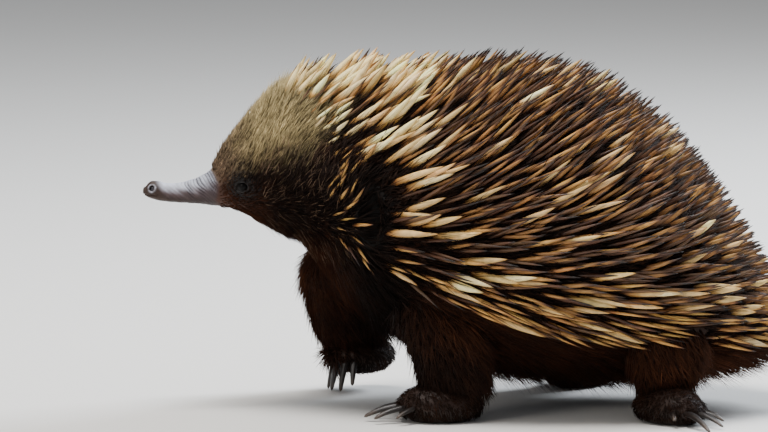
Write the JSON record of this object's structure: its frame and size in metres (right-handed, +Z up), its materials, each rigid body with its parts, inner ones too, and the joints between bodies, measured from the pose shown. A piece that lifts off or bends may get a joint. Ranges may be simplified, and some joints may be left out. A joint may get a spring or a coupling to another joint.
{
  "type": "echidna",
  "caption": "Life-size still model of a walking short-beaked echidna with a slender beak, clawed feet and a back of tapering spines.",
  "frame": {"origin": "on the floor under the middle of the animal's length and width", "axes": "+X towards the tail, so that the animal faces -X; +Y towards its right side; +Z up"},
  "size_m": [0.4006, 0.2498, 0.2028],
  "materials": {
    "beak_skin": "bare wrinkled skin, slate grey, satin",
    "head_fur": "flat olive-brown bristly hair",
    "spiny_coat": "cream and amber spines with black tips over dark brown fur",
    "body_fur": "long dark brown fur",
    "foot_skin": "dark leathery skin with sparse hair",
    "ear_skin": "dark skin round the ear slit",
    "claw_horn": "dark horn, worn paler at the tips",
    "eye": "wet black eye"
  },
  "bodies": {
    "root": {"beak": "beak_skin", "head": "head_fur", "neck": "spiny_coat", "shoulders": "spiny_coat", "loins": "spiny_coat", "rump": "spiny_coat", "tail": "spiny_coat", "left_eye": "eye", "left_ear": "ear_skin", "left_foreleg": "body_fur", "left_forefoot": "foot_skin", "left_forefoot_claw_1": "claw_horn", "left_forefoot_claw_2": "claw_horn", "left_forefoot_claw_3": "claw_horn", "left_forefoot_claw_4": "claw_horn", "left_forefoot_claw_5": "claw_horn", "left_hindleg": "body_fur", "left_hindfoot": "foot_skin", "left_hindfoot_claw_1": "claw_horn", "left_hindfoot_claw_2": "claw_horn", "left_hindfoot_claw_3": "claw_horn", "left_hindfoot_claw_4": "claw_horn", "left_hindfoot_claw_5": "claw_horn", "right_eye": "eye", "right_ear": "ear_skin", "right_foreleg": "body_fur", "right_forefoot": "foot_skin", "right_forefoot_claw_1": "claw_horn", "right_forefoot_claw_2": "claw_horn", "right_forefoot_claw_3": "claw_horn", "right_forefoot_claw_4": "claw_horn", "right_forefoot_claw_5": "claw_horn", "right_hindleg": "body_fur", "right_hindfoot": "foot_skin", "right_hindfoot_claw_1": "claw_horn", "right_hindfoot_claw_2": "claw_horn", "right_hindfoot_claw_3": "claw_horn", "right_hindfoot_claw_4": "claw_horn", "right_hindfoot_claw_5": "claw_horn"}
  },
  "joints": []
}
